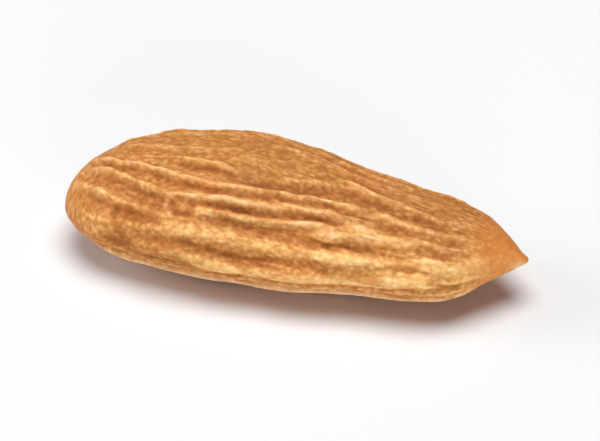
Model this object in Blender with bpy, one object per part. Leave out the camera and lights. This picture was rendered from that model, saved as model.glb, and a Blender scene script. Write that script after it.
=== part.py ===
"""A mamra almond kernel, shelled, with its brown skin: one solid that grew as one piece.

The kernel lies on its flatter side. +X runs from its blunt base to its pointed tip, +Y is its far side
and +Z is up. The origin is the middle of the bottom of its bounding box, on the surface that it rests on.

A place on the skin is given by two numbers. One is how far along it is, from 0 at the base to 1 at the
tip. The other is its flow angle round the kernel: 0 on the far rim, 90 on the crest, 180 on the near rim
and 270 on the belly. Lines of one flow angle run the way the veins do, straight along the kernel and
then fanned out over its base.
"""

import math
import random

import bmesh
import bpy
import numpy as np
from mathutils import Matrix

MM = 0.001

# Driving dimensions of the smooth body
LENGTH = 26.0 * MM
HALF_WIDTH = 5.6 * MM
CREST_HEIGHT = 3.7 * MM
BELLY_DEPTH = 2.7 * MM
SIDE_SHIFT = 1.3 * MM
RIM_SHARPNESS = 1.15

# How far along, then the share of half width, crest height, belly depth and side shift there
OUTLINE = (
    (0.000, 0.00, 0.00, 0.00, 0.30),
    (0.024, 0.40, 0.37, 0.29, 0.58),
    (0.075, 0.65, 0.60, 0.53, 0.76),
    (0.150, 0.82, 0.78, 0.70, 0.88),
    (0.250, 0.95, 0.93, 0.89, 0.97),
    (0.370, 1.00, 1.00, 1.00, 0.99),
    (0.500, 0.92, 0.95, 0.99, 0.71),
    (0.630, 0.79, 0.80, 0.90, 0.29),
    (0.750, 0.72, 0.73, 0.78, 0.05),
    (0.850, 0.64, 0.59, 0.61, -0.09),
    (0.905, 0.47, 0.46, 0.44, 0.02),
    (0.950, 0.27, 0.27, 0.26, 0.00),
    (0.980, 0.12, 0.12, 0.12, -0.06),
    (1.000, 0.00, 0.00, 0.00, 0.00),
)

# The flat spot that the kernel rests on, under its weight
FOOT_ALONG = 0.44
FOOT_LIFT = 0.22 * MM
FOOT_REACH = 5.0 * MM
FOOT_HALF_WIDTH = 2.8 * MM
FOOT_BLEND_START = 0.5

# The skin's long veins, raised from the body
VEIN_HEIGHT = 0.28 * MM
VEIN_WIDTH = 0.36 * MM
VEIN_FADE = 0.05

# Share of the height, share of the width, and the way: how far along and at which flow angle it passes
FACE_VEINS = (
    (0.8, 0.9, ((0.07, 205), (0.50, 205), (0.80, 203), (0.93, 201))),
    (0.7, 1.3, ((0.30, 182), (0.50, 182), (0.66, 180), (0.78, 177))),
    (0.4, 0.8, ((0.30, 195), (0.50, 195), (0.70, 192), (0.90, 184))),
    (
        1.2,
        1.5,
        (
            (0.15, 172), (0.25, 169), (0.31, 169.5), (0.37, 173.5), (0.43, 175), (0.50, 173.5),
            (0.60, 173), (0.70, 170), (0.76, 167.5), (0.85, 165),
        ),
    ),
    (
        1.0,
        1.9,
        (
            (0.06, 166), (0.09, 163.5), (0.13, 158), (0.20, 154), (0.30, 151.2), (0.38, 152.5), (0.46, 154.5),
            (0.55, 155.5), (0.64, 154.8), (0.72, 152.3), (0.78, 149), (0.85, 148), (0.95, 147),
        ),
    ),
    (0.7, 1.0, ((0.05, 137), (0.10, 139.5), (0.16, 141.3), (0.22, 142.5), (0.27, 144))),
    (0.8, 0.8, ((0.00, 141), (0.06, 141), (0.13, 141))),
    (0.9, 1.0, ((0.53, 139.5), (0.58, 138.5), (0.62, 136.3), (0.67, 135))),
    (0.65, 1.6, ((0.55, 156.5), (0.64, 156), (0.75, 153))),
    (0.3, 1.2, ((0.50, 173), (0.62, 172.5), (0.72, 169), (0.82, 166))),
    (0.5, 1.7, ((0.50, 134.5), (0.58, 134), (0.64, 133), (0.70, 131))),
    (1.0, 0.9, ((0.29, 136.5), (0.35, 134.6), (0.42, 135.6), (0.48, 134.3), (0.55, 131.7), (0.62, 130))),
    (1.05, 1.9, ((0.61, 122), (0.65, 126), (0.69, 130.5), (0.74, 132), (0.77, 133), (0.81, 136))),
    (0.7, 1.3, ((0.74, 122.5), (0.79, 126), (0.83, 127.5), (0.92, 129.5))),
    (
        0.95,
        0.85,
        (
            (0.04, 122.5), (0.09, 122), (0.13, 122), (0.20, 126), (0.25, 128.4), (0.32, 127.4),
            (0.40, 127), (0.46, 125.6), (0.50, 124), (0.55, 121.6), (0.60, 120), (0.64, 120.5),
        ),
    ),
    (0.5, 0.9, ((0.31, 127.4), (0.38, 127.2), (0.45, 126))),
    (
        0.35,
        1.1,
        (
            (0.14, 121.5), (0.20, 124), (0.26, 125.5), (0.34, 125), (0.42, 124.2), (0.48, 122),
            (0.54, 119), (0.60, 117.5), (0.64, 117),
        ),
    ),
    (0.5, 1.3, ((0.18, 107.5), (0.24, 110.5), (0.30, 113.5), (0.36, 114.5), (0.43, 113.5))),
    (0.4, 0.7, ((0.06, 119.5), (0.11, 119), (0.17, 119.5))),
    (
        0.95,
        0.8,
        (
            (0.04, 110), (0.10, 110.5), (0.16, 110), (0.21, 112), (0.25, 114.5), (0.30, 117),
            (0.35, 118.5), (0.42, 117), (0.50, 113.8), (0.57, 110.5), (0.62, 108.5), (0.67, 108),
        ),
    ),
    (0.85, 1.15, ((0.66, 108), (0.70, 110.5), (0.745, 114.6), (0.78, 115.5), (0.83, 115.2), (0.91, 114))),
    (1.0, 0.9, ((0.21, 98.5), (0.27, 100.4), (0.32, 102.6), (0.355, 105), (0.40, 110))),
    (0.6, 1.0, ((0.38, 108.5), (0.42, 107.2), (0.47, 104.6), (0.52, 100), (0.56, 94.5), (0.61, 88))),
    (1.1, 1.1, ((0.57, 87.5), (0.635, 88.5), (0.68, 92.4), (0.72, 95.2), (0.77, 98.4), (0.84, 100.4))),
    (0.4, 1.1, ((0.10, 84), (0.24, 88), (0.40, 88))),
    (0.4, 1.2, ((0.42, 72), (0.60, 73), (0.82, 80))),
    (0.5, 1.1, ((0.07, 63), (0.25, 65), (0.50, 60), (0.78, 66))),
    (0.45, 1.0, ((0.13, 49), (0.35, 51), (0.60, 47), (0.88, 53))),
)
# Furrows sink between the veins, and have the same form
FACE_FURROWS = (
    (0.15, 0.8, ((0.26, 187), (0.45, 188), (0.60, 186.5), (0.75, 178), (0.88, 173))),
    (0.34, 1.5, ((0.09, 171), (0.16, 175.5), (0.23, 179), (0.28, 181), (0.33, 183))),
    (
        0.46,
        1.75,
        (
            (0.11, 162), (0.20, 164), (0.27, 161.5), (0.34, 161.5), (0.42, 165),
            (0.50, 165.5), (0.60, 164.5), (0.74, 163),
        ),
    ),
    (0.30, 1.2, ((0.70, 161), (0.75, 159.5), (0.80, 158.5), (0.87, 158))),
    (0.35, 1.1, ((0.03, 146.5), (0.07, 146), (0.11, 147.5))),
    (0.66, 1.2, ((0.09, 158), (0.13, 152.5), (0.165, 149), (0.20, 148.5), (0.26, 147.5))),
    (0.34, 1.5, ((0.32, 139.5), (0.42, 140.7), (0.52, 142.3), (0.61, 144.5))),
    (0.14, 1.5, ((0.54, 143.5), (0.62, 145), (0.70, 145))),
    (0.42, 1.2, ((0.655, 144.5), (0.70, 144.3), (0.74, 143), (0.78, 140.5), (0.82, 138.5))),
    (0.30, 0.7, ((0.73, 120), (0.76, 126), (0.785, 130.5), (0.82, 134.8), (0.86, 136.8), (0.92, 138))),
    (0.34, 0.9, ((0.06, 130.5), (0.10, 127.3), (0.14, 126.3), (0.20, 128.2), (0.26, 131))),
    (0.20, 0.9, ((0.14, 131), (0.185, 133.3), (0.22, 134), (0.27, 132))),
    (0.30, 0.9, ((0.29, 130.5), (0.38, 131.4), (0.45, 129.8), (0.52, 127.3), (0.57, 125.7), (0.63, 124.5))),
    (
        0.18,
        0.8,
        (
            (0.05, 116), (0.13, 115.4), (0.20, 117.5), (0.27, 119.5), (0.35, 121), (0.42, 120), (0.50, 117),
            (0.58, 113.3), (0.64, 115), (0.70, 120.5), (0.76, 120.5), (0.82, 119.9), (0.90, 120.5),
        ),
    ),
    (0.22, 1.0, ((0.67, 117), (0.71, 121.5), (0.77, 122.5), (0.84, 121), (0.90, 122))),
    (0.30, 1.2, ((0.22, 104), (0.28, 105.3), (0.36, 107))),
    (
        0.48,
        1.3,
        (
            (0.33, 112.3), (0.40, 111.2), (0.46, 108.7), (0.51, 106.5), (0.56, 101.5), (0.60, 98.5),
            (0.66, 98), (0.71, 99), (0.76, 100.8), (0.80, 104), (0.86, 109),
        ),
    ),
)

# Near the base the veins bend round towards the far side, which they spread out from
FAN_TURN = math.radians(70.0)
FAN_REACH = 0.08
FAN_MIDDLE = math.radians(85.0)

# The hidden sides have veins of the same kind, evenly spread and varied by a seeded draw
HIDDEN_VEINS = 12
HIDDEN_FIRST_ANGLE = 232
HIDDEN_LAST_ANGLE = 396
HIDDEN_STARTS = (0.06, 0.24)
HIDDEN_ENDS = (0.66, 0.92)
HIDDEN_HEIGHTS = (0.6, 1.1)
HIDDEN_STOPS = 4
HIDDEN_JITTER = 4.0
FAR_RIM_ANGLE = 350.0
FAR_RIM_REACH = 40.0
FAR_RIM_SOFTENING = 0.70
WANDER = 2.2
WANDER_WAVES = (1.2, 2.6)
SEED = 7

# Slow swells and hollows of the whole body under the veins
SWELL_HEIGHT = 0.06 * MM
SWELL_WAVES = ((1.6, 2, 0.4), (2.7, 3, 2.1), (3.8, 1, 4.0))

# The grid that the skin is drawn on
COLUMNS = 120
RINGS = 46
RING_CROWDING = 0.65
COLUMN_EVENING = 0.13

SKIN_COLOUR = (0.61, 0.27, 0.085, 1.0)
SKIN_ROUGHNESS = 0.6


def clear_scene():
    for thing in list(bpy.data.objects):
        bpy.data.objects.remove(thing, do_unlink=True)


def smooth_step(share):
    share = np.clip(share, 0.0, 1.0)
    return share * share * (3.0 - 2.0 * share)


def smooth_curve(stops, values, places):
    """The values at some places on a smooth curve through the given values at the given stops."""
    stops = np.asarray(stops, float)
    values = np.asarray(values, float)
    slopes = np.gradient(values, stops)
    places = np.clip(places, stops[0], stops[-1])
    left = np.clip(np.searchsorted(stops, places, side="right") - 1, 0, len(stops) - 2)
    gap = stops[left + 1] - stops[left]
    t = (places - stops[left]) / gap
    ease = t * t * (3.0 - 2.0 * t)
    start_bend = t * (1.0 - t) ** 2 * gap * slopes[left]
    end_bend = t * t * (t - 1.0) * gap * slopes[left + 1]
    return values[left] * (1.0 - ease) + values[left + 1] * ease + start_bend + end_bend


def round_ended(along):
    """Stretches the ends of the scale from 0 to 1, so that the body's curves there come out round."""
    return np.arccos(1.0 - 2.0 * np.clip(along, 0.0, 1.0)) / math.pi


def body_sizes(along):
    """Half width, crest height, belly depth and side shift of the smooth body."""
    table = np.array(OUTLINE)
    stops = round_ended(table[:, 0])
    places = round_ended(along)
    full = (HALF_WIDTH, CREST_HEIGHT, BELLY_DEPTH, SIDE_SHIFT)
    return [size * smooth_curve(stops, table[:, i + 1], places) for i, size in enumerate(full)]


def section_angle(along, flow):
    """The angle in the cross-section that a line of one flow angle has reached."""
    nearness = (1.0 + np.cos(flow - FAN_MIDDLE)) / 2.0
    return flow - FAN_TURN * np.exp(-along / FAN_REACH) * nearness**2


def vein(height, width, way, wander=0.0, waves=0.0, phase=0.0):
    stops, angles = zip(*way)
    return {
        "height": height * VEIN_HEIGHT,
        "width": width * VEIN_WIDTH,
        "stops": stops,
        "angles": angles,
        "wander": wander,
        "waves": waves,
        "phase": phase,
    }


def all_veins():
    """The veins and furrows of the upper face, and the varied veins of the hidden sides."""
    veins = [vein(*row) for row in FACE_VEINS]
    for depth, width, way in FACE_FURROWS:
        veins.append(vein(-depth, width, way))
    draw = random.Random(SEED)
    for number in range(HIDDEN_VEINS):
        share = number / (HIDDEN_VEINS - 1)
        angle = HIDDEN_FIRST_ANGLE + share * (HIDDEN_LAST_ANGLE - HIDDEN_FIRST_ANGLE)
        stops = np.linspace(draw.uniform(*HIDDEN_STARTS), draw.uniform(*HIDDEN_ENDS), HIDDEN_STOPS)
        way = [(stop, angle + draw.uniform(-HIDDEN_JITTER, HIDDEN_JITTER)) for stop in stops]
        softening = FAR_RIM_SOFTENING * smooth_step((angle - FAR_RIM_ANGLE) / FAR_RIM_REACH)
        height = draw.uniform(*HIDDEN_HEIGHTS) * (1.0 - softening)
        waves = draw.uniform(*WANDER_WAVES)
        phase = draw.uniform(0.0, 2.0 * math.pi)
        veins.append(vein(height, 1.0, way, WANDER, waves, phase))
    return veins


def vein_relief(one, along, flow, reach):
    """Height that one vein adds at each place: a rounded rib across, fading out at both ends."""
    middle = np.radians(smooth_curve(one["stops"], one["angles"], along))
    sway = np.sin(2.0 * math.pi * one["waves"] * along + one["phase"])
    middle = middle + math.radians(one["wander"]) * sway
    turn = np.remainder(flow - middle + math.pi, 2.0 * math.pi) - math.pi
    across = np.exp(-((turn * reach / one["width"]) ** 2))
    rise = smooth_step((along - one["stops"][0]) / VEIN_FADE)
    fall = smooth_step((one["stops"][-1] - along) / VEIN_FADE)
    return one["height"] * across * rise * fall


def swells(along, angle):
    """Slow swells and hollows, none of them at the two ends."""
    total = 0.0
    for waves, turns, phase in SWELL_WAVES:
        total = total + np.sin(2.0 * math.pi * waves * along + turns * angle + phase)
    return SWELL_HEIGHT * total * np.sin(math.pi * along) ** 2


def foot_share(along, side, angle):
    """1 in the middle of the foot, falling to 0 at its edge and everywhere on the upper side."""
    distance = np.hypot((along - FOOT_ALONG) * LENGTH / FOOT_REACH, side / FOOT_HALF_WIDTH)
    return np.where(np.sin(angle) < 0.0, 1.0 - smooth_step(distance - FOOT_BLEND_START), 0.0)


def skin_points(along, flow):
    """Places on the kernel's skin, with the rim's plane at height 0 and the base at x = 0."""
    half_width, crest, belly, shift = body_sizes(along)
    angle = section_angle(along, flow)
    cosine = np.cos(angle)
    sine = np.sin(angle)
    height = np.where(sine > 0.0, crest, belly)
    across = half_width * cosine
    up = height * np.sign(sine) * np.abs(sine) ** RIM_SHARPNESS
    even_height = (crest + belly + (crest - belly) * sine) / 2.0
    reach = np.hypot(half_width * sine, even_height * cosine)
    relief = swells(along, angle)
    for one in all_veins():
        relief = relief + vein_relief(one, along, flow, reach)
    relief = relief * (1.0 - foot_share(along, across, angle))
    out_across = cosine * height
    out_up = sine * half_width
    steepness = np.maximum(np.hypot(out_across, out_up), 1e-9)
    across = across + shift + relief * out_across / steepness
    up = up + relief * out_up / steepness
    return np.stack([along * LENGTH, across, np.maximum(up, FOOT_LIFT - BELLY_DEPTH)], axis=-1)


def unit_places(directions):
    """How far along and at which flow angle each direction of a unit ball lies."""
    share = np.arccos(np.clip(-directions[:, 0], -1.0, 1.0)) / math.pi
    crowded = (1.0 - np.cos(math.pi * share)) / 2.0
    along = (1.0 - RING_CROWDING) * share + RING_CROWDING * crowded
    flow = np.arctan2(directions[:, 2], directions[:, 1])
    return along, flow + COLUMN_EVENING * np.sin(2.0 * flow)


def build_kernel_mesh():
    """A ball with its poles at the base and the tip, each point moved out to the skin."""
    ball = bmesh.new()
    poles_along_x = Matrix.Rotation(math.radians(90.0), 4, "Y")
    bmesh.ops.create_uvsphere(ball, u_segments=COLUMNS, v_segments=RINGS, radius=1.0, matrix=poles_along_x)
    directions = np.array([point.co for point in ball.verts])
    places = skin_points(*unit_places(directions))
    lowest = places.min(axis=0)
    highest = places.max(axis=0)
    middle = (lowest + highest) / 2.0
    places = places - (middle[0], middle[1], lowest[2])
    for point, place in zip(ball.verts, places):
        point.co = place
    mesh = bpy.data.meshes.new("kernel")
    ball.to_mesh(mesh)
    ball.free()
    mesh.shade_smooth()
    return mesh


def skin_material():
    material = bpy.data.materials.new("skin")
    material.use_nodes = True
    shader = material.node_tree.nodes["Principled BSDF"]
    shader.inputs["Base Color"].default_value = SKIN_COLOUR
    shader.inputs["Roughness"].default_value = SKIN_ROUGHNESS
    shader.inputs["Metallic"].default_value = 0.0
    return material


def main():
    clear_scene()
    almond = bpy.data.collections.new("mamra_almond")
    bpy.context.scene.collection.children.link(almond)
    mesh = build_kernel_mesh()
    mesh.materials.append(skin_material())
    almond.objects.link(bpy.data.objects.new("kernel", mesh))


main()
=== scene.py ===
"""A mamra almond kernel with its fine skin, lying on a pale floor in soft light.

The skin has the form of the solid kernel, drawn on a finer grid, with the wrinkles and the grain that
are too small for the solid. A place on it is given by how far along it is, from 0 at the blunt base to 1
at the pointed tip, and by its flow angle round the kernel: 0 on the far rim, 90 on the crest, 180 on the
near rim and 270 on the belly.
"""

import math
import random

import bmesh
import bpy
import numpy as np
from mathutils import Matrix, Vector, noise


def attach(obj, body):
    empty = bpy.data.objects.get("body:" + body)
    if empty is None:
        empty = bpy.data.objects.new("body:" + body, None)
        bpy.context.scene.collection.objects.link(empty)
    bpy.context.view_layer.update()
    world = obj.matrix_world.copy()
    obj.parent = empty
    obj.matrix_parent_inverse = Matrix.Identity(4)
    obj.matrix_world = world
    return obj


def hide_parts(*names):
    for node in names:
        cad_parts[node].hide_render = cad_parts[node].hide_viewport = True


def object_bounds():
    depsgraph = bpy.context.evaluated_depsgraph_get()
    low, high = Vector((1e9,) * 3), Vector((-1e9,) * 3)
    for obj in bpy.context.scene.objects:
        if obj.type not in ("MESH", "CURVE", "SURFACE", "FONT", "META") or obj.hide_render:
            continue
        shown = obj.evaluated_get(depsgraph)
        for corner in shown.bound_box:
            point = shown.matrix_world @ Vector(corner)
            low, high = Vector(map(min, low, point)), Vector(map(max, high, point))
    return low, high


MM = 0.001

# The kernel's smooth body, as in the solid
LENGTH = 26.0 * MM
HALF_WIDTH = 5.6 * MM
CREST_HEIGHT = 3.7 * MM
BELLY_DEPTH = 2.7 * MM
SIDE_SHIFT = 1.3 * MM
RIM_SHARPNESS = 1.15

# How far along, then the share of half width, crest height, belly depth and side shift there
OUTLINE = (
    (0.000, 0.00, 0.00, 0.00, 0.30),
    (0.024, 0.40, 0.37, 0.29, 0.58),
    (0.075, 0.65, 0.60, 0.53, 0.76),
    (0.150, 0.82, 0.78, 0.70, 0.88),
    (0.250, 0.95, 0.93, 0.89, 0.97),
    (0.370, 1.00, 1.00, 1.00, 0.99),
    (0.500, 0.92, 0.95, 0.99, 0.71),
    (0.630, 0.79, 0.80, 0.90, 0.29),
    (0.750, 0.72, 0.73, 0.78, 0.05),
    (0.850, 0.64, 0.59, 0.61, -0.09),
    (0.905, 0.47, 0.46, 0.44, 0.02),
    (0.950, 0.27, 0.27, 0.26, 0.00),
    (0.980, 0.12, 0.12, 0.12, -0.06),
    (1.000, 0.00, 0.00, 0.00, 0.00),
)

# The flat spot under the belly, on which the kernel rests. The relief fades out on it
FOOT_ALONG = 0.44
FOOT_LIFT = 0.22 * MM
FOOT_REACH = 5.0 * MM
FOOT_HALF_WIDTH = 2.8 * MM
FOOT_BLEND_START = 0.5

# The usual height and width of a vein, and how far along it takes to rise and to fall
VEIN_HEIGHT = 0.28 * MM
VEIN_WIDTH = 0.36 * MM
VEIN_FADE = 0.05

# Share of the height, share of the width, and the way: how far along and at which flow angle it passes
FACE_VEINS = (
    (0.8, 0.9, ((0.07, 205), (0.50, 205), (0.80, 203), (0.93, 201))),
    (0.7, 1.3, ((0.30, 182), (0.50, 182), (0.66, 180), (0.78, 177))),
    (0.4, 0.8, ((0.30, 195), (0.50, 195), (0.70, 192), (0.90, 184))),
    (
        1.2,
        1.5,
        (
            (0.15, 172), (0.25, 169), (0.31, 169.5), (0.37, 173.5), (0.43, 175), (0.50, 173.5),
            (0.60, 173), (0.70, 170), (0.76, 167.5), (0.85, 165),
        ),
    ),
    (
        1.0,
        1.9,
        (
            (0.06, 166), (0.09, 163.5), (0.13, 158), (0.20, 154), (0.30, 151.2), (0.38, 152.5),
            (0.46, 154.5), (0.55, 155.5), (0.64, 154.8), (0.72, 152.3), (0.78, 149), (0.85, 148), (0.95, 147),
        ),
    ),
    (0.7, 1.0, ((0.05, 137), (0.10, 139.5), (0.16, 141.3), (0.22, 142.5), (0.27, 144))),
    (0.8, 0.8, ((0.00, 141), (0.06, 141), (0.13, 141))),
    (0.9, 1.0, ((0.53, 139.5), (0.58, 138.5), (0.62, 136.3), (0.67, 135))),
    (0.65, 1.6, ((0.55, 156.5), (0.64, 156), (0.75, 153))),
    (0.3, 1.2, ((0.50, 173), (0.62, 172.5), (0.72, 169), (0.82, 166))),
    (0.5, 1.7, ((0.50, 134.5), (0.58, 134), (0.64, 133), (0.70, 131))),
    (1.0, 0.9, ((0.29, 136.5), (0.35, 134.6), (0.42, 135.6), (0.48, 134.3), (0.55, 131.7), (0.62, 130))),
    (1.05, 1.9, ((0.61, 122), (0.65, 126), (0.69, 130.5), (0.74, 132), (0.77, 133), (0.81, 136))),
    (0.7, 1.3, ((0.74, 122.5), (0.79, 126), (0.83, 127.5), (0.92, 129.5))),
    (
        0.95,
        0.85,
        (
            (0.04, 122.5), (0.09, 122), (0.13, 122), (0.20, 126), (0.25, 128.4), (0.32, 127.4),
            (0.40, 127), (0.46, 125.6), (0.50, 124), (0.55, 121.6), (0.60, 120), (0.64, 120.5),
        ),
    ),
    (0.5, 0.9, ((0.31, 127.4), (0.38, 127.2), (0.45, 126))),
    (
        0.35,
        1.1,
        (
            (0.14, 121.5), (0.20, 124), (0.26, 125.5), (0.34, 125), (0.42, 124.2), (0.48, 122),
            (0.54, 119), (0.60, 117.5), (0.64, 117),
        ),
    ),
    (0.5, 1.3, ((0.18, 107.5), (0.24, 110.5), (0.30, 113.5), (0.36, 114.5), (0.43, 113.5))),
    (0.4, 0.7, ((0.06, 119.5), (0.11, 119), (0.17, 119.5))),
    (
        0.95,
        0.8,
        (
            (0.04, 110), (0.10, 110.5), (0.16, 110), (0.21, 112), (0.25, 114.5), (0.30, 117),
            (0.35, 118.5), (0.42, 117), (0.50, 113.8), (0.57, 110.5), (0.62, 108.5), (0.67, 108),
        ),
    ),
    (0.85, 1.15, ((0.66, 108), (0.70, 110.5), (0.745, 114.6), (0.78, 115.5), (0.83, 115.2), (0.91, 114))),
    (1.0, 0.9, ((0.21, 98.5), (0.27, 100.4), (0.32, 102.6), (0.355, 105), (0.40, 110))),
    (0.6, 1.0, ((0.38, 108.5), (0.42, 107.2), (0.47, 104.6), (0.52, 100), (0.56, 94.5), (0.61, 88))),
    (1.1, 1.1, ((0.57, 87.5), (0.635, 88.5), (0.68, 92.4), (0.72, 95.2), (0.77, 98.4), (0.84, 100.4))),
    (0.4, 1.1, ((0.10, 84), (0.24, 88), (0.40, 88))),
    (0.4, 1.2, ((0.42, 72), (0.60, 73), (0.82, 80))),
    (0.5, 1.1, ((0.07, 63), (0.25, 65), (0.50, 60), (0.78, 66))),
    (0.45, 1.0, ((0.13, 49), (0.35, 51), (0.60, 47), (0.88, 53))),
)
# Furrows sink between the veins, and have the same form
FACE_FURROWS = (
    (0.15, 0.8, ((0.26, 187), (0.45, 188), (0.60, 186.5), (0.75, 178), (0.88, 173))),
    (0.34, 1.5, ((0.09, 171), (0.16, 175.5), (0.23, 179), (0.28, 181), (0.33, 183))),
    (
        0.46,
        1.75,
        (
            (0.11, 162), (0.20, 164), (0.27, 161.5), (0.34, 161.5), (0.42, 165),
            (0.50, 165.5), (0.60, 164.5), (0.74, 163),
        ),
    ),
    (0.30, 1.2, ((0.70, 161), (0.75, 159.5), (0.80, 158.5), (0.87, 158))),
    (0.35, 1.1, ((0.03, 146.5), (0.07, 146), (0.11, 147.5))),
    (0.66, 1.2, ((0.09, 158), (0.13, 152.5), (0.165, 149), (0.20, 148.5), (0.26, 147.5))),
    (0.34, 1.5, ((0.32, 139.5), (0.42, 140.7), (0.52, 142.3), (0.61, 144.5))),
    (0.14, 1.5, ((0.54, 143.5), (0.62, 145), (0.70, 145))),
    (0.42, 1.2, ((0.655, 144.5), (0.70, 144.3), (0.74, 143), (0.78, 140.5), (0.82, 138.5))),
    (0.30, 0.7, ((0.73, 120), (0.76, 126), (0.785, 130.5), (0.82, 134.8), (0.86, 136.8), (0.92, 138))),
    (0.34, 0.9, ((0.06, 130.5), (0.10, 127.3), (0.14, 126.3), (0.20, 128.2), (0.26, 131))),
    (0.20, 0.9, ((0.14, 131), (0.185, 133.3), (0.22, 134), (0.27, 132))),
    (0.30, 0.9, ((0.29, 130.5), (0.38, 131.4), (0.45, 129.8), (0.52, 127.3), (0.57, 125.7), (0.63, 124.5))),
    (
        0.18,
        0.8,
        (
            (0.05, 116), (0.13, 115.4), (0.20, 117.5), (0.27, 119.5), (0.35, 121), (0.42, 120), (0.50, 117),
            (0.58, 113.3), (0.64, 115), (0.70, 120.5), (0.76, 120.5), (0.82, 119.9), (0.90, 120.5),
        ),
    ),
    (0.22, 1.0, ((0.67, 117), (0.71, 121.5), (0.77, 122.5), (0.84, 121), (0.90, 122))),
    (0.30, 1.2, ((0.22, 104), (0.28, 105.3), (0.36, 107))),
    (
        0.48,
        1.3,
        (
            (0.33, 112.3), (0.40, 111.2), (0.46, 108.7), (0.51, 106.5), (0.56, 101.5), (0.60, 98.5),
            (0.66, 98), (0.71, 99), (0.76, 100.8), (0.80, 104), (0.86, 109),
        ),
    ),
)

# At the base the veins of the upper face bend together like a fan
FAN_TURN = math.radians(70.0)
FAN_REACH = 0.08
FAN_MIDDLE = math.radians(85.0)

# The veins of the belly and the far rim: where they start and end, how high they are, and how much
# they bend and wander. Towards the far rim they grow softer
HIDDEN_VEINS = 12
HIDDEN_FIRST_ANGLE = 232
HIDDEN_LAST_ANGLE = 396
HIDDEN_STARTS = (0.06, 0.24)
HIDDEN_ENDS = (0.66, 0.92)
HIDDEN_HEIGHTS = (0.6, 1.1)
HIDDEN_STOPS = 4
HIDDEN_JITTER = 4.0
FAR_RIM_ANGLE = 350.0
FAR_RIM_REACH = 40.0
FAR_RIM_SOFTENING = 0.70
WANDER = 2.2
WANDER_WAVES = (1.2, 2.6)
SEED = 7

# The body's slow swells: how often each goes up and down along the kernel and round it, and its phase
SWELL_HEIGHT = 0.06 * MM
SWELL_WAVES = ((1.6, 2, 0.4), (2.7, 3, 2.1), (3.8, 1, 4.0))

# The finer grid that the skin is drawn on
COLUMNS = 384
RINGS = 250
RING_CROWDING = 0.65
COLUMN_EVENING = 0.13
# Nothing is divided by less than this, which matters at the very ends
LEAST_STEEPNESS = 1e-9

# Each vein's crest is a narrow ridge on a broad one, between two fine grooves
CREST_SHARE = 0.32
CREST_NARROWING = 0.46
GROOVE_SHARE = 0.14
GROOVE_DISTANCE = 1.15
GROOVE_WIDTH = 0.45
# The veins stray a little to both sides: how far apart the bends are, how stretched along the kernel,
# and how far they turn the vein
STRAY = ((2.4 * MM, 2.0, math.radians(0.5)), (0.6 * MM, 1.4, math.radians(1.1)))
# Every vein is higher here and lower there
UNEVENNESS = 0.35
UNEVENNESS_REACH = 1.3 * MM
UNEVENNESS_STRETCH = 1.5
# The wider a vein is than this share of the usual width, the more its sides are as pale as its crest
EVEN_WIDTH = 1.0
# The crest is beaded: how much its height varies, how far apart the beads are and how long they are
BEADS = 0.2
BEAD_SPACING = 0.30 * MM
BEAD_STRETCH = 1.4

# Short wrinkles lie between the veins and run the same way, and shorter ones slant over the base.
# How many, where they start, how long, how high and how wide they are, and how far they drift round
WRINKLES = (
    (220, (0.03, 0.86), (0.03, 0.12), (0.03 * MM, 0.09 * MM), (0.09 * MM, 0.16 * MM), (-45.0, 45.0)),
    (60, (-0.03, 0.08), (0.03, 0.06), (0.03 * MM, 0.07 * MM), (0.13 * MM, 0.25 * MM), (120.0, 420.0)),
)
WRINKLE_HEIGHT = 0.085 * MM
WRINKLE_FADE = 0.035
WRINKLE_SEED = 23

# A small dimple on the upper face: an oval groove with a low lip outside it and a low boss inside it
DIMPLE_ALONG = 0.279
DIMPLE_ANGLE = math.radians(134.5)
DIMPLE_RADIUS = 0.40 * MM
DIMPLE_STRETCH = 1.5
DIMPLE_SPREAD = 0.13 * MM
DIMPLE_DEPTH = 0.10 * MM
DIMPLE_LIP = 0.5
DIMPLE_LIP_PLACE = 2.0

# The grain: how far apart its lumps are, how much longer they are than wide, and how far they stand out
GRAIN = ((0.95 * MM, 2.0, 0.034 * MM), (0.32 * MM, 1.5, 0.040 * MM))

# Where each random field is taken from, so that no two of them are alike
STRAY_OFFSET = 11.0
UNEVENNESS_OFFSET = 31.0
GRAIN_OFFSET = 51.0
BEAD_OFFSET = 71.0

# How much each of these marks the skin's colour
MARK_CRESTS = 0.62
MARK_GROOVES = 0.40
MARK_BANDS = 0.28
MARK_EVEN = 0.40
MARK_FURROWS = 1.35
MARK_WRINKLES = 0.80
MARK_DIMPLE = 0.70

# Painted light and shade: the near face is paler from the base to the tip, partly its own tone, and the far
# one darker
NEAR_FACE_ANGLE = math.radians(166.0)
FAR_PAINTED_SHADE_ANGLE = math.radians(62.0)
FACE_REACH = 0.45
NEAR_PAINTED_LIGHT = 0.30
NEAR_PAINTED_LIGHT_START = -0.09
FAR_PAINTED_SHADE = 0.08

# The marks of the veins and the fine wrinkles fade out at the base, where the veins all meet
BASE_FADE = 0.04

# The tip has a smoother skin, of its own colour
TIP_START = 0.86
TIP_REACH = 0.08
TIP_SMOOTHNESS = 0.40

# A pale scar lies at the near side of the tip's end
SCAR_ALONG = 0.983
SCAR_LENGTH = 0.010
SCAR_ANGLE = math.radians(186.0)
SCAR_TURN = math.radians(32.0)

# The near rim's edge is a smooth line painted pale, as painted rim light from the floor's bounce
LIT_RIM_ANGLE = math.radians(207.0)
LIT_RIM_REACH = math.radians(5.5)
LIT_RIM_RISE = 0.20
LIT_RIM_FALL = 0.15
LIT_RIM_SMOOTHNESS = 0.85


def smooth_step(share):
    """Rises smoothly from 0 to 1 as the share does."""
    share = np.clip(share, 0.0, 1.0)
    return share * share * (3.0 - 2.0 * share)


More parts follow.
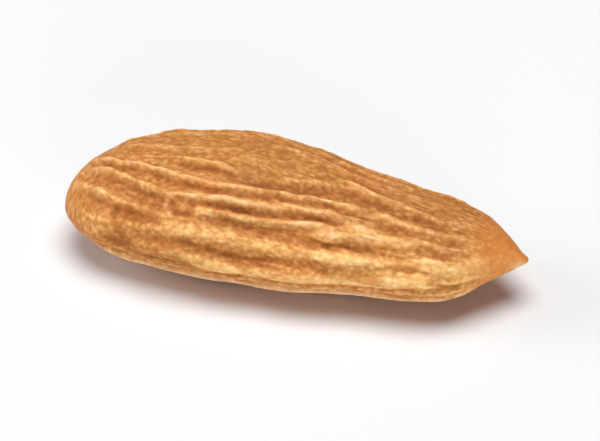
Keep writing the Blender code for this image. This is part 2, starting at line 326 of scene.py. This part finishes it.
def smooth_curve(stops, values, places):
    """The values at some places on a smooth curve through the given values at the given stops."""
    stops = np.asarray(stops, float)
    values = np.asarray(values, float)
    slopes = np.gradient(values, stops)
    places = np.clip(places, stops[0], stops[-1])
    left = np.clip(np.searchsorted(stops, places, side="right") - 1, 0, len(stops) - 2)
    gap = stops[left + 1] - stops[left]
    t = (places - stops[left]) / gap
    ease = t * t * (3.0 - 2.0 * t)
    start_bend = t * (1.0 - t) ** 2 * gap * slopes[left]
    end_bend = t * t * (t - 1.0) * gap * slopes[left + 1]
    return values[left] * (1.0 - ease) + values[left + 1] * ease + start_bend + end_bend


def round_ended(along):
    """Stretches the ends of the scale from 0 to 1, so that the body's curves there come out round."""
    return np.arccos(1.0 - 2.0 * np.clip(along, 0.0, 1.0)) / math.pi


def body_sizes(along):
    """Half width, crest height, belly depth and side shift of the smooth body."""
    table = np.array(OUTLINE)
    stops = round_ended(table[:, 0])
    places = round_ended(along)
    full = (HALF_WIDTH, CREST_HEIGHT, BELLY_DEPTH, SIDE_SHIFT)
    return [size * smooth_curve(stops, table[:, i + 1], places) for i, size in enumerate(full)]


def section_angle(along, flow):
    """The angle in the cross-section that a line of one flow angle has reached."""
    nearness = (1.0 + np.cos(flow - FAN_MIDDLE)) / 2.0
    return flow - FAN_TURN * np.exp(-along / FAN_REACH) * nearness**2


def noise_field(places, spacing, stretch, offset):
    """Smooth random values from about -1 to 1, in lumps that lie along the kernel."""
    scaled = places / (spacing * stretch, spacing, spacing) + offset
    return np.array([noise.noise(Vector(place)) for place in scaled])


def rib(along, flow, reach, one):
    """The broad ridge, narrow crest and flanking grooves of one vein or wrinkle, fading out at its ends."""
    turn = np.remainder(flow - one["middle"] + math.pi, 2.0 * math.pi) - math.pi
    across = np.abs(turn * reach / one["width"])
    rise = smooth_step((along - one["start"]) / one["fade"])
    fall = smooth_step((one["end"] - along) / one["fade"])
    strength = one["height"] * rise * fall
    broad = strength * np.exp(-(across**2))
    narrow = strength * np.exp(-((across / CREST_NARROWING) ** 2))
    grooves = strength * np.exp(-(((across - GROOVE_DISTANCE) / GROOVE_WIDTH) ** 2))
    return np.stack([broad, narrow, grooves])


def vein(along, height, width, way, wander=0.0, waves=0.0, phase=0.0):
    """One vein, or a furrow where the height is below 0, with the flow angle of its middle all along it."""
    stops, angles = zip(*way)
    middle = np.radians(smooth_curve(stops, angles, along))
    middle = middle + math.radians(wander) * np.sin(2.0 * math.pi * waves * along + phase)
    return {
        "start": stops[0],
        "end": stops[-1],
        "fade": VEIN_FADE,
        "height": height * VEIN_HEIGHT,
        "width": width * VEIN_WIDTH,
        "evenness": max(0.0, 1.0 - EVEN_WIDTH / width),
        "middle": middle,
    }


def all_veins(along):
    """The veins and furrows of the upper face, and the varied veins of the hidden sides."""
    veins = [vein(along, *row) for row in FACE_VEINS]
    for depth, width, way in FACE_FURROWS:
        veins.append(vein(along, -depth, width, way))
    draw = random.Random(SEED)
    for number in range(HIDDEN_VEINS):
        share = number / (HIDDEN_VEINS - 1)
        angle = HIDDEN_FIRST_ANGLE + share * (HIDDEN_LAST_ANGLE - HIDDEN_FIRST_ANGLE)
        stops = np.linspace(draw.uniform(*HIDDEN_STARTS), draw.uniform(*HIDDEN_ENDS), HIDDEN_STOPS)
        way = [(stop, angle + draw.uniform(-HIDDEN_JITTER, HIDDEN_JITTER)) for stop in stops]
        softening = FAR_RIM_SOFTENING * smooth_step((angle - FAR_RIM_ANGLE) / FAR_RIM_REACH)
        height = draw.uniform(*HIDDEN_HEIGHTS) * (1.0 - softening)
        waves = draw.uniform(*WANDER_WAVES)
        phase = draw.uniform(0.0, 2.0 * math.pi)
        veins.append(vein(along, height, 1.0, way, WANDER, waves, phase))
    return veins


def all_wrinkles(along):
    """Short fine wrinkles over the whole skin, each drifting a little to one side."""
    draw = random.Random(WRINKLE_SEED)
    wrinkles = []
    for count, starts, lengths, heights, widths, drifts in WRINKLES:
        for number in range(count):
            start = draw.uniform(*starts)
            angle = 360.0 * (number + draw.uniform(0.0, 1.0)) / count
            drift = draw.uniform(*drifts)
            wrinkles.append(
                {
                    "start": start,
                    "end": start + draw.uniform(*lengths),
                    "fade": WRINKLE_FADE,
                    "height": draw.uniform(*heights),
                    "width": draw.uniform(*widths),
                    "middle": np.radians(angle + drift * (along - start)),
                }
            )
    return wrinkles


def swells(along, angle):
    """Slow swells and hollows, none of them at the two ends."""
    total = 0.0
    for waves, turns, phase in SWELL_WAVES:
        total = total + np.sin(2.0 * math.pi * waves * along + turns * angle + phase)
    return SWELL_HEIGHT * total * np.sin(math.pi * along) ** 2


def foot_share(along, side, angle):
    """1 in the middle of the foot, falling to 0 at its edge and everywhere on the upper side."""
    distance = np.hypot((along - FOOT_ALONG) * LENGTH / FOOT_REACH, side / FOOT_HALF_WIDTH)
    return np.where(np.sin(angle) < 0.0, 1.0 - smooth_step(distance - FOOT_BLEND_START), 0.0)


def share_near(flow, angle):
    """1 at one flow angle, falling to 0 on both sides of it."""
    turn = np.remainder(flow - angle + math.pi, 2.0 * math.pi) - math.pi
    return np.exp(-(turn**2) / FACE_REACH)


def paleness_and_painted_light(along, flow):
    """How much paler the skin is painted than its average: painted light, partly its own tone, on the near
    face, and painted shade on the far one.
    """
    rise = NEAR_PAINTED_LIGHT * (NEAR_PAINTED_LIGHT_START + along) * share_near(flow, NEAR_FACE_ANGLE)
    return rise - FAR_PAINTED_SHADE * share_near(flow, FAR_PAINTED_SHADE_ANGLE)


def tip_share(along):
    """1 on the tip, falling to 0 behind it."""
    return smooth_step((along - TIP_START) / TIP_REACH)


def scar_share(along, flow):
    """1 in the middle of the tip's scar, falling to 0 round it."""
    turn = (flow - SCAR_ANGLE) / SCAR_TURN
    return np.exp(-(turn**2) - ((along - SCAR_ALONG) / SCAR_LENGTH) ** 2)


def lit_rim_share(along, flow):
    """Where the painted rim light lies: 1 on the near rim's edge, falling to 0 beside it and towards both
    ends.
    """
    turn = (np.remainder(flow, 2.0 * math.pi) - LIT_RIM_ANGLE) / LIT_RIM_REACH
    ends = smooth_step(along / LIT_RIM_RISE) * smooth_step((1.0 - along) / LIT_RIM_FALL)
    return np.exp(-(turn**2)) * ends


class Skin:
    """The skin's form at every point of its grid."""

    def __init__(self, along, flow):
        self.along = along
        self.flow = flow
        self.half_width, self.crest, self.belly, self.shift = body_sizes(along)
        self.angle = section_angle(along, flow)
        self.height = np.where(np.sin(self.angle) > 0.0, self.crest, self.belly)
        self.flow_height = np.where(np.sin(flow) > 0.0, self.crest, self.belly)
        self.grain_places = self.laid_out(0.0)
        even = (self.crest + self.belly + (self.crest - self.belly) * np.sin(self.angle)) / 2.0
        self.reach = np.hypot(self.half_width * np.sin(self.angle), even * np.cos(self.angle))
        self.off_foot = 1.0 - foot_share(along, self.half_width * np.cos(self.angle), self.angle)
        tip_roughness = 1.0 - TIP_SMOOTHNESS * tip_share(along)
        self.roughness = tip_roughness * (1.0 - LIT_RIM_SMOOTHNESS * lit_rim_share(along, flow))
        self.shape()

    def laid_out(self, relief):
        """Places for the grain: on the body, as if the veins didn't bend at the base, with relief on it."""
        cosine = np.cos(self.flow)
        sine = np.sin(self.flow)
        steepness = np.maximum(np.hypot(cosine * self.flow_height, sine * self.half_width), LEAST_STEEPNESS)
        across = self.half_width * cosine + relief * cosine * self.flow_height / steepness
        up = self.flow_height * sine + relief * sine * self.half_width / steepness
        return np.stack([self.along * LENGTH, across, up], axis=-1)

    def strayed_flow(self):
        """The flow angle, shifted a little here and there so that the veins aren't drawn too evenly."""
        strayed = self.flow
        for number, (spacing, stretch, turn) in enumerate(STRAY):
            field = noise_field(self.grain_places, spacing, stretch, STRAY_OFFSET + number)
            strayed = strayed + turn * field
        return strayed

    def vein_ribs(self, flow):
        """The ribs of the veins, those of the furrows, and the part of the veins' that is pale all over."""
        raised, sunk, even = np.zeros((3, 3, len(self.along)))
        for one in all_veins(self.along):
            part = rib(self.along, flow, self.reach, one)
            if one["height"] > 0.0:
                raised += part
                even += one["evenness"] * part
            else:
                sunk += part
        return raised, sunk, even

    def shape(self):
        """Works out the skin's relief, and the marks that its veins and wrinkles leave in its colour."""
        strayed = self.strayed_flow()
        uneven = noise_field(self.grain_places, UNEVENNESS_REACH, UNEVENNESS_STRETCH, UNEVENNESS_OFFSET)
        beads = noise_field(self.grain_places, BEAD_SPACING, BEAD_STRETCH, BEAD_OFFSET)
        raised, sunk, even = self.vein_ribs(strayed)
        wrinkles = sum(rib(self.along, strayed, self.reach, one) for one in all_wrinkles(self.along))
        broad, narrow, grooves = raised * (1.0 + UNEVENNESS * uneven)
        narrow = narrow * (1.0 + BEADS * beads)
        off_base = smooth_step(self.along / BASE_FADE)
        fine_broad, fine_narrow, fine_grooves = wrinkles * self.roughness * off_base
        self.veins = broad * (1.0 - CREST_SHARE) + narrow * CREST_SHARE - grooves * GROOVE_SHARE + sunk[0]
        self.veins = self.veins * self.off_foot
        self.wrinkles = (fine_broad + self.dimple_relief()) * self.off_foot
        self.crest_mark = (MARK_CRESTS * (narrow - even[1]) - MARK_GROOVES * grooves) / VEIN_HEIGHT
        self.crest_mark += MARK_WRINKLES * (fine_narrow - MARK_GROOVES * fine_grooves) / WRINKLE_HEIGHT
        bands = MARK_BANDS * broad + MARK_EVEN * even[0] + MARK_FURROWS * sunk[0]
        self.band_mark = bands / VEIN_HEIGHT
        self.crest_mark *= off_base
        self.band_mark *= off_base
        self.band_mark += MARK_DIMPLE * self.dimple_relief() / DIMPLE_DEPTH

    def dimple_relief(self):
        """The dimple's groove, with the lip and the boss on its two sides."""
        turn = (self.flow - DIMPLE_ANGLE) * self.reach
        ahead = (self.along - DIMPLE_ALONG) * LENGTH / DIMPLE_STRETCH
        outside = (np.hypot(ahead, turn) - DIMPLE_RADIUS) / DIMPLE_SPREAD
        groove = np.exp(-(outside**2))
        lip = DIMPLE_LIP * np.exp(-((np.abs(outside) - DIMPLE_LIP_PLACE) ** 2))
        return DIMPLE_DEPTH * (lip - groove)

    def grain(self):
        """The fine lumps all over the skin, lower on the tip and on the rim's edge."""
        total = 0.0
        for number, (spacing, stretch, height) in enumerate(GRAIN):
            field = noise_field(self.grain_places, spacing, stretch, GRAIN_OFFSET + number)
            total = total + height * field
        return total * self.roughness * self.off_foot

    def points(self, relief):
        """Places on the skin, with the rim's plane at height 0 and the base's end at x = 0."""
        cosine = np.cos(self.angle)
        sine = np.sin(self.angle)
        across = self.half_width * cosine
        up = self.height * np.sign(sine) * np.abs(sine) ** RIM_SHARPNESS
        out_across = cosine * self.height
        out_up = sine * self.half_width
        steepness = np.maximum(np.hypot(out_across, out_up), LEAST_STEEPNESS)
        across = across + self.shift + relief * out_across / steepness
        up = up + relief * out_up / steepness
        return np.stack([self.along * LENGTH, across, np.maximum(up, FOOT_LIFT - BELLY_DEPTH)], axis=-1)


def ring_places():
    """How far along each ring of the grid is, closer together at the two ends."""
    share = np.arange(1, RINGS) / RINGS
    crowded = (1.0 - np.cos(math.pi * share)) / 2.0
    return (1.0 - RING_CROWDING) * share + RING_CROWDING * crowded


def column_angles():
    """The flow angle of each column of the grid, from the middle of the belly and all the way round."""
    even = 2.0 * math.pi * np.arange(COLUMNS) / COLUMNS - math.pi / 2.0
    return even + COLUMN_EVENING * np.sin(2.0 * even)


def grid_faces():
    """The corners of every face: four-sided between two rings, three-sided round the base and the tip."""
    this = np.arange(COLUMNS)
    following = (this + 1) % COLUMNS
    rings = np.arange(RINGS - 2)[:, None] * COLUMNS + 1
    after = rings + COLUMNS
    bands = np.stack([rings + this, after + this, after + following, rings + following], axis=-1)
    tip = 1 + COLUMNS * (RINGS - 1)
    last = tip - COLUMNS
    base_cap = np.stack([np.zeros_like(this), 1 + this, 1 + following], axis=-1)
    tip_cap = np.stack([np.full_like(this, tip), last + following, last + this], axis=-1)
    return bands.reshape(-1, 4).tolist() + base_cap.tolist() + tip_cap.tolist()


def lay_out_map(mesh, along):
    """A flat map of the skin: across it is the way round from the belly, up it is the way along."""
    columns = np.arange(COLUMNS)
    band = np.stack([columns, columns, columns + 1, columns + 1], axis=-1)
    bands = np.broadcast_to(band, (RINGS - 2, COLUMNS, 4)).ravel()
    base_cap = np.stack([columns + 0.5, columns, columns + 1], axis=-1).ravel()
    tip_cap = np.stack([columns + 0.5, columns + 1, columns], axis=-1).ravel()
    round_way = np.concatenate([bands, base_cap, tip_cap]) / COLUMNS
    corners = np.empty(len(mesh.loops), np.int32)
    mesh.loops.foreach_get("vertex_index", corners)
    layer = mesh.uv_layers.new(name="OFBake")
    layer.data.foreach_set("uv", np.stack([round_way, along[corners]], axis=-1).ravel())


def keep_values(mesh, name, values):
    attribute = mesh.attributes.new(name, "FLOAT", "POINT")
    attribute.data.foreach_set("value", np.asarray(values, np.float32))


def keep_places(mesh, name, places):
    attribute = mesh.attributes.new(name, "FLOAT_VECTOR", "POINT")
    attribute.data.foreach_set("vector", np.asarray(places, np.float32).ravel())


def keep_marks(mesh, skin):
    """Keeps on the mesh what the skin's material needs to know at each point."""
    keep_values(mesh, "crest_mark", skin.crest_mark)
    keep_values(mesh, "band_mark", skin.band_mark)
    keep_values(mesh, "tip", tip_share(skin.along))
    keep_values(mesh, "scar", scar_share(skin.along, skin.flow))
    # Painted rim light along the near rim's edge, where the skin is also smoother
    keep_values(mesh, "rim", lit_rim_share(skin.along, skin.flow))
    # Painted light on the near face, partly its own paler tone, and painted shade on the far face
    keep_values(mesh, "paleness_and_painted_light", paleness_and_painted_light(skin.along, skin.flow))
    keep_values(mesh, "near_face", share_near(skin.flow, NEAR_FACE_ANGLE))
    keep_places(mesh, "grain_place", skin.laid_out(skin.veins) / MM)


def build_skin(cad_low, cad_high):
    """The finely shaped skin, in the middle of the solid's box and down on the floor."""
    along = np.concatenate([[0.0], np.repeat(ring_places(), COLUMNS), [1.0]])
    flow = np.concatenate([[0.0], np.tile(column_angles(), RINGS - 1), [0.0]])
    skin = Skin(along, flow)
    slow = swells(along, skin.angle) * skin.off_foot
    plain = skin.points(slow + skin.veins)
    places = skin.points(slow + skin.veins + skin.wrinkles + skin.grain())
    middle = (plain.min(axis=0) + plain.max(axis=0)) / 2.0
    cad_middle = (cad_low + cad_high) / 2.0
    places = places - (middle[0] - cad_middle[0], middle[1] - cad_middle[1], places[:, 2].min())
    mesh = bpy.data.meshes.new("almond_skin")
    mesh.from_pydata(places.tolist(), [], grid_faces())
    mesh.shade_smooth()
    lay_out_map(mesh, along)
    keep_marks(mesh, skin)
    piece = bpy.data.objects.new("almond_skin", mesh)
    bpy.context.scene.collection.objects.link(piece)
    return piece


class Nodes:
    """Short calls that add and join the nodes of one material."""

    def __init__(self, name):
        self.material = bpy.data.materials.new(name)
        self.material.use_nodes = True
        self.tree = self.material.node_tree
        self.shader = self.tree.nodes["Principled BSDF"]

    def join(self, source, socket):
        if isinstance(source, bpy.types.NodeSocket):
            self.tree.links.new(source, socket)
        else:
            socket.default_value = source

    def attribute(self, name, output="Fac"):
        node = self.tree.nodes.new("ShaderNodeAttribute")
        node.attribute_name = name
        return node.outputs[output]

    def math(self, operation, first, second, clamp=False):
        node = self.tree.nodes.new("ShaderNodeMath")
        node.operation = operation
        node.use_clamp = clamp
        self.join(first, node.inputs[0])
        self.join(second, node.inputs[1])
        return node.outputs["Value"]

    def stretched(self, places, stretch):
        node = self.tree.nodes.new("ShaderNodeMapping")
        self.join(places, node.inputs["Vector"])
        node.inputs["Scale"].default_value = (1.0 / stretch, 1.0, 1.0)
        return node.outputs["Vector"]

    def noise(self, places, spacing, stretch, detail):
        """Noise from 0 to 1 with lumps that are so many millimetres apart."""
        node = self.tree.nodes.new("ShaderNodeTexNoise")
        self.join(self.stretched(places, stretch), node.inputs["Vector"])
        node.inputs["Scale"].default_value = 1.0 / spacing
        node.inputs["Detail"].default_value = detail
        return node.outputs["Fac"]

    def granules(self, places, spacing, stretch):
        """Distance from the middle of the nearest granule, 0 in its middle and about 0.7 at its edge."""
        node = self.tree.nodes.new("ShaderNodeTexVoronoi")
        self.join(self.stretched(places, stretch), node.inputs["Vector"])
        node.inputs["Scale"].default_value = 1.0 / spacing
        return node.outputs["Distance"]

    def spread(self, value, low, high, new_low=0.0, new_high=1.0):
        """The value, moved from between the low and the high one to between the new ones."""
        node = self.tree.nodes.new("ShaderNodeMapRange")
        self.join(value, node.inputs["Value"])
        node.inputs["From Min"].default_value = low
        node.inputs["From Max"].default_value = high
        node.inputs["To Min"].default_value = new_low
        node.inputs["To Max"].default_value = new_high
        return node.outputs["Result"]

    def ramp(self, value, stops):
        node = self.tree.nodes.new("ShaderNodeValToRGB")
        elements = node.color_ramp.elements
        while len(elements) < len(stops):
            elements.new(0.5)
        for element, (place, colour) in zip(elements, stops):
            element.position = place
            element.color = colour
        self.join(value, node.inputs["Fac"])
        return node.outputs["Color"]

    def mix(self, share, first, second, blend="MIX"):
        node = self.tree.nodes.new("ShaderNodeMix")
        node.data_type = "RGBA"
        node.blend_type = blend
        self.join(share, node.inputs["Factor"])
        self.join(first, node.inputs["A"])
        self.join(second, node.inputs["B"])
        return node.outputs["Result"]

    def bump(self, height, strength, depth):
        node = self.tree.nodes.new("ShaderNodeBump")
        self.join(height, node.inputs["Height"])
        node.inputs["Strength"].default_value = strength
        node.inputs["Distance"].default_value = depth
        return node.outputs["Normal"]


def linear(red, green, blue):
    """A colour given from 0 to 255 as seen on a screen, in the linear values that light adds up in."""
    return (*(((part / 255.0 + 0.055) / 1.055) ** 2.4 for part in (red, green, blue)), 1.0)


# The skin's colours, by level, from the bottom of a furrow to the crest of a vein
SKIN_COLOURS = (
    (-0.30, linear(134, 76, 30)),
    (0.00, linear(166, 99, 43)),
    (0.25, linear(190, 122, 58)),
    (0.50, linear(215, 151, 85)),
    (0.75, linear(243, 187, 117)),
    (1.00, linear(253, 210, 143)),
    (1.30, linear(255, 227, 172)),
)
LOWEST_LEVEL = SKIN_COLOURS[0][0]
HIGHEST_LEVEL = SKIN_COLOURS[-1][0]
# Here and there the skin is a little redder or more golden
RED_TINT = linear(255, 238, 240)
GOLD_TINT = linear(255, 252, 228)
# Places with a colour of their own, and how strong it is there; the rim's pale line is painted rim light
COLOURED_PLACES = (
    ("tip", 0.60, linear(228, 135, 59)),
    ("scar", 0.85, linear(252, 222, 160)),
    # Painted rim light, pale and pinkish, along the near rim's edge
    ("rim", 0.60, linear(244, 204, 164)),
)

# The skin's random patterns: how many millimetres their lumps are apart, how much longer they are than
# wide, and how much finer detail they have
GRANULES = (0.30, 1.4)
SPECKLES = (0.20, 1.3, 2.0)
STREAKS = (0.34, 4.0, 2.0)
MOTTLES = (0.60, 1.7, 2.0)
BREAKS = (0.36, 1.5, 2.0)
RED_PATCHES = (3.0, 1.6, 1.0)
GOLD_PATCHES = (1.1, 2.2, 1.0)

# What the patterns do: values from the first number to the second become the third to the fourth.
# These four raise or lower the level of the colour
GRANULE_LEVELS = (0.1, 0.7, 0.60, 0.30)
SPECKLE_LEVELS = (0.3, 0.7, -0.15, 0.15)
STREAK_LEVELS = (0.3, 0.7, -0.05, 0.05)
MOTTLE_LEVELS = (0.3, 0.7, -0.08, 0.08)
# The breaks make the mark of a crest weaker or stronger
BREAK_SHARES = (0.3, 0.7, 0.50, 1.50)
# Red patches, and redder crests away from the near face
RED_SHARES = (0.42, 0.70, 0.0, 0.5)
RED_CREST_SHARES = (0.50, 0.85, 0.0, 0.7)
RED_AWAY_SHARES = (0.6, 0.3, 0.0, 1.0)
# Golden patches, and more gold on the near face
GOLD_SHARES = (0.50, 0.75, 0.0, 0.6)
GOLD_NEAR_SHARES = (0.5, 0.9, 0.0, 0.4)
# Speckles are a little glossier than the skin round them
SPECKLE_ROUGHNESS = (0.3, 0.7, 0.70, 0.54)

MARK_STRENGTH = 0.43
SPECULAR_LEVEL = 0.22
BUMP_STRENGTH = 0.5
BUMP_DEPTH = 0.04 * MM


def colour_level(nodes, places, granules, speckles):
    """How pale the skin is at each place, from the lowest level to the highest."""
    broken = nodes.spread(nodes.noise(places, *BREAKS), *BREAK_SHARES)
    crests = nodes.math("MULTIPLY", nodes.attribute("crest_mark"), broken)
    marks = nodes.math("ADD", crests, nodes.attribute("band_mark"))
    # The level takes in the painted light of the near face and the painted shade of the far one
    level = nodes.math("ADD", nodes.math("MULTIPLY", marks, MARK_STRENGTH), nodes.attribute("paleness_and_painted_light"))
    level = nodes.math("ADD", level, nodes.spread(granules, *GRANULE_LEVELS))
    level = nodes.math("ADD", level, nodes.spread(speckles, *SPECKLE_LEVELS))
    level = nodes.math("ADD", level, nodes.spread(nodes.noise(places, *STREAKS), *STREAK_LEVELS))
    return nodes.math("ADD", level, nodes.spread(nodes.noise(places, *MOTTLES), *MOTTLE_LEVELS))


def level_colour(nodes, level):
    """The skin's colour at each level."""
    span = HIGHEST_LEVEL - LOWEST_LEVEL
    stops = [((stop - LOWEST_LEVEL) / span, colour) for stop, colour in SKIN_COLOURS]
    return nodes.ramp(nodes.spread(level, LOWEST_LEVEL, HIGHEST_LEVEL), stops)


def tinted(nodes, colour, places, level):
    """The colour with its red and golden tints."""
    near_face = nodes.attribute("near_face")
    crests = nodes.spread(level, *RED_CREST_SHARES)
    red_crests = nodes.math("MULTIPLY", nodes.spread(near_face, *RED_AWAY_SHARES), crests)
    redness = nodes.spread(nodes.noise(places, *RED_PATCHES), *RED_SHARES)
    redness = nodes.math("ADD", redness, red_crests, clamp=True)
    colour = nodes.mix(redness, colour, RED_TINT, "MULTIPLY")
    goldness = nodes.spread(nodes.noise(places, *GOLD_PATCHES), *GOLD_SHARES)
    goldness = nodes.math("ADD", goldness, nodes.spread(near_face, *GOLD_NEAR_SHARES), clamp=True)
    return nodes.mix(goldness, colour, GOLD_TINT, "MULTIPLY")


def skin_material():
    nodes = Nodes("skin")
    places = nodes.attribute("grain_place", "Vector")
    granules = nodes.granules(places, *GRANULES)
    speckles = nodes.noise(places, *SPECKLES)
    level = colour_level(nodes, places, granules, speckles)
    colour = tinted(nodes, level_colour(nodes, level), places, level)
    for name, strength, own_colour in COLOURED_PLACES:
        share = nodes.math("MULTIPLY", nodes.attribute(name), strength)
        colour = nodes.mix(share, colour, own_colour)
    nodes.join(colour, nodes.shader.inputs["Base Color"])
    nodes.join(nodes.spread(speckles, *SPECKLE_ROUGHNESS), nodes.shader.inputs["Roughness"])
    nodes.shader.inputs["Specular IOR Level"].default_value = SPECULAR_LEVEL
    bump = nodes.bump(nodes.math("SUBTRACT", speckles, granules), BUMP_STRENGTH, BUMP_DEPTH)
    nodes.join(bump, nodes.shader.inputs["Normal"])
    return nodes.material


FLOOR_HALF_SIZE = 0.6
FLOOR_COLOUR = (0.88, 0.88, 0.88, 1.0)
FLOOR_ROUGHNESS = 0.8


def floor_material():
    nodes = Nodes("floor")
    nodes.shader.inputs["Base Color"].default_value = FLOOR_COLOUR
    nodes.shader.inputs["Roughness"].default_value = FLOOR_ROUGHNESS
    return nodes.material


def build_floor():
    plane = bmesh.new()
    bmesh.ops.create_grid(plane, x_segments=1, y_segments=1, size=FLOOR_HALF_SIZE)
    mesh = bpy.data.meshes.new("floor")
    plane.to_mesh(mesh)
    plane.free()
    mesh.materials.append(floor_material())
    floor = bpy.data.objects.new("floor", mesh)
    bpy.context.scene.collection.objects.link(floor)


# The camera looks down on the kernel from its near side, turned a little towards the tip
CAMERA_TURN = math.radians(12.0)
CAMERA_RISE = math.radians(36.0)
CAMERA_DISTANCE = 0.35
VIEW_WIDTH = 33.0 * MM
VIEW_DROP = 0.9 * MM
NEAREST_SEEN = 0.01


def direction(turn, rise):
    """The way from the kernel to the camera."""
    return Vector((math.sin(turn) * math.cos(rise), -math.cos(turn) * math.cos(rise), math.sin(rise)))


def add_camera(middle):
    camera = bpy.data.objects.new("camera", bpy.data.cameras.new("camera"))
    bpy.context.scene.collection.objects.link(camera)
    camera.data.lens = camera.data.sensor_width * CAMERA_DISTANCE / VIEW_WIDTH
    camera.data.clip_start = NEAREST_SEEN
    back = direction(CAMERA_TURN, CAMERA_RISE)
    camera.rotation_mode = "QUATERNION"
    camera.rotation_quaternion = (-back).to_track_quat("-Z", "Y")
    camera.location = middle - Vector((0.0, 0.0, VIEW_DROP)) + back * CAMERA_DISTANCE
    bpy.context.scene.camera = camera


# Large soft lamps above, in front and beyond the base: their places and widths in metres, their powers
# in watts and their colours
LAMPS = (
    ("key", (0.00, 0.015, 0.42), 0.38, 1.86, (1.0, 1.0, 1.0)),
    ("fill", (0.17, -0.42, 0.05), 0.25, 0.90, (0.94, 1.0, 1.12)),
    ("side", (-0.38, -0.02, 0.18), 0.25, 0.60, (0.96, 1.0, 1.06)),
)
# The room round them gives a little white light from everywhere
ROOM_COLOUR = (1.0, 1.0, 1.0, 1.0)
ROOM_STRENGTH = 0.04


def add_lamp(name, place, width, power, colour):
    light = bpy.data.lights.new(name, "AREA")
    light.shape = "DISK"
    light.size = width
    light.energy = power
    light.color = colour
    lamp = bpy.data.objects.new(name, light)
    lamp.location = place
    lamp.rotation_mode = "QUATERNION"
    lamp.rotation_quaternion = (-Vector(place)).to_track_quat("-Z", "Y")
    lamp.visible_camera = False
    bpy.context.scene.collection.objects.link(lamp)


def add_light():
    world = bpy.data.worlds.new("studio")
    world.use_nodes = True
    world.node_tree.nodes["Background"].inputs["Color"].default_value = ROOM_COLOUR
    world.node_tree.nodes["Background"].inputs["Strength"].default_value = ROOM_STRENGTH
    bpy.context.scene.world = world
    for lamp in LAMPS:
        add_lamp(*lamp)


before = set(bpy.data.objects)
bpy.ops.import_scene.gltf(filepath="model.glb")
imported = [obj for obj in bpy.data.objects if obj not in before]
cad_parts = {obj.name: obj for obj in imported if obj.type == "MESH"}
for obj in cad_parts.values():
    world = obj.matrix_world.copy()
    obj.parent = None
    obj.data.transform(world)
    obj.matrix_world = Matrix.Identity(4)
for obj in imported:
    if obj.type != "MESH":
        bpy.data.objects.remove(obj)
cad_low, cad_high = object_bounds()
almond = build_skin(cad_low, cad_high)
almond.data.materials.append(skin_material())
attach(almond, "root")
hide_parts("kernel")
build_floor()
add_light()
add_camera((cad_low + cad_high) / 2.0)
bpy.context.scene.view_settings.view_transform = "Standard"
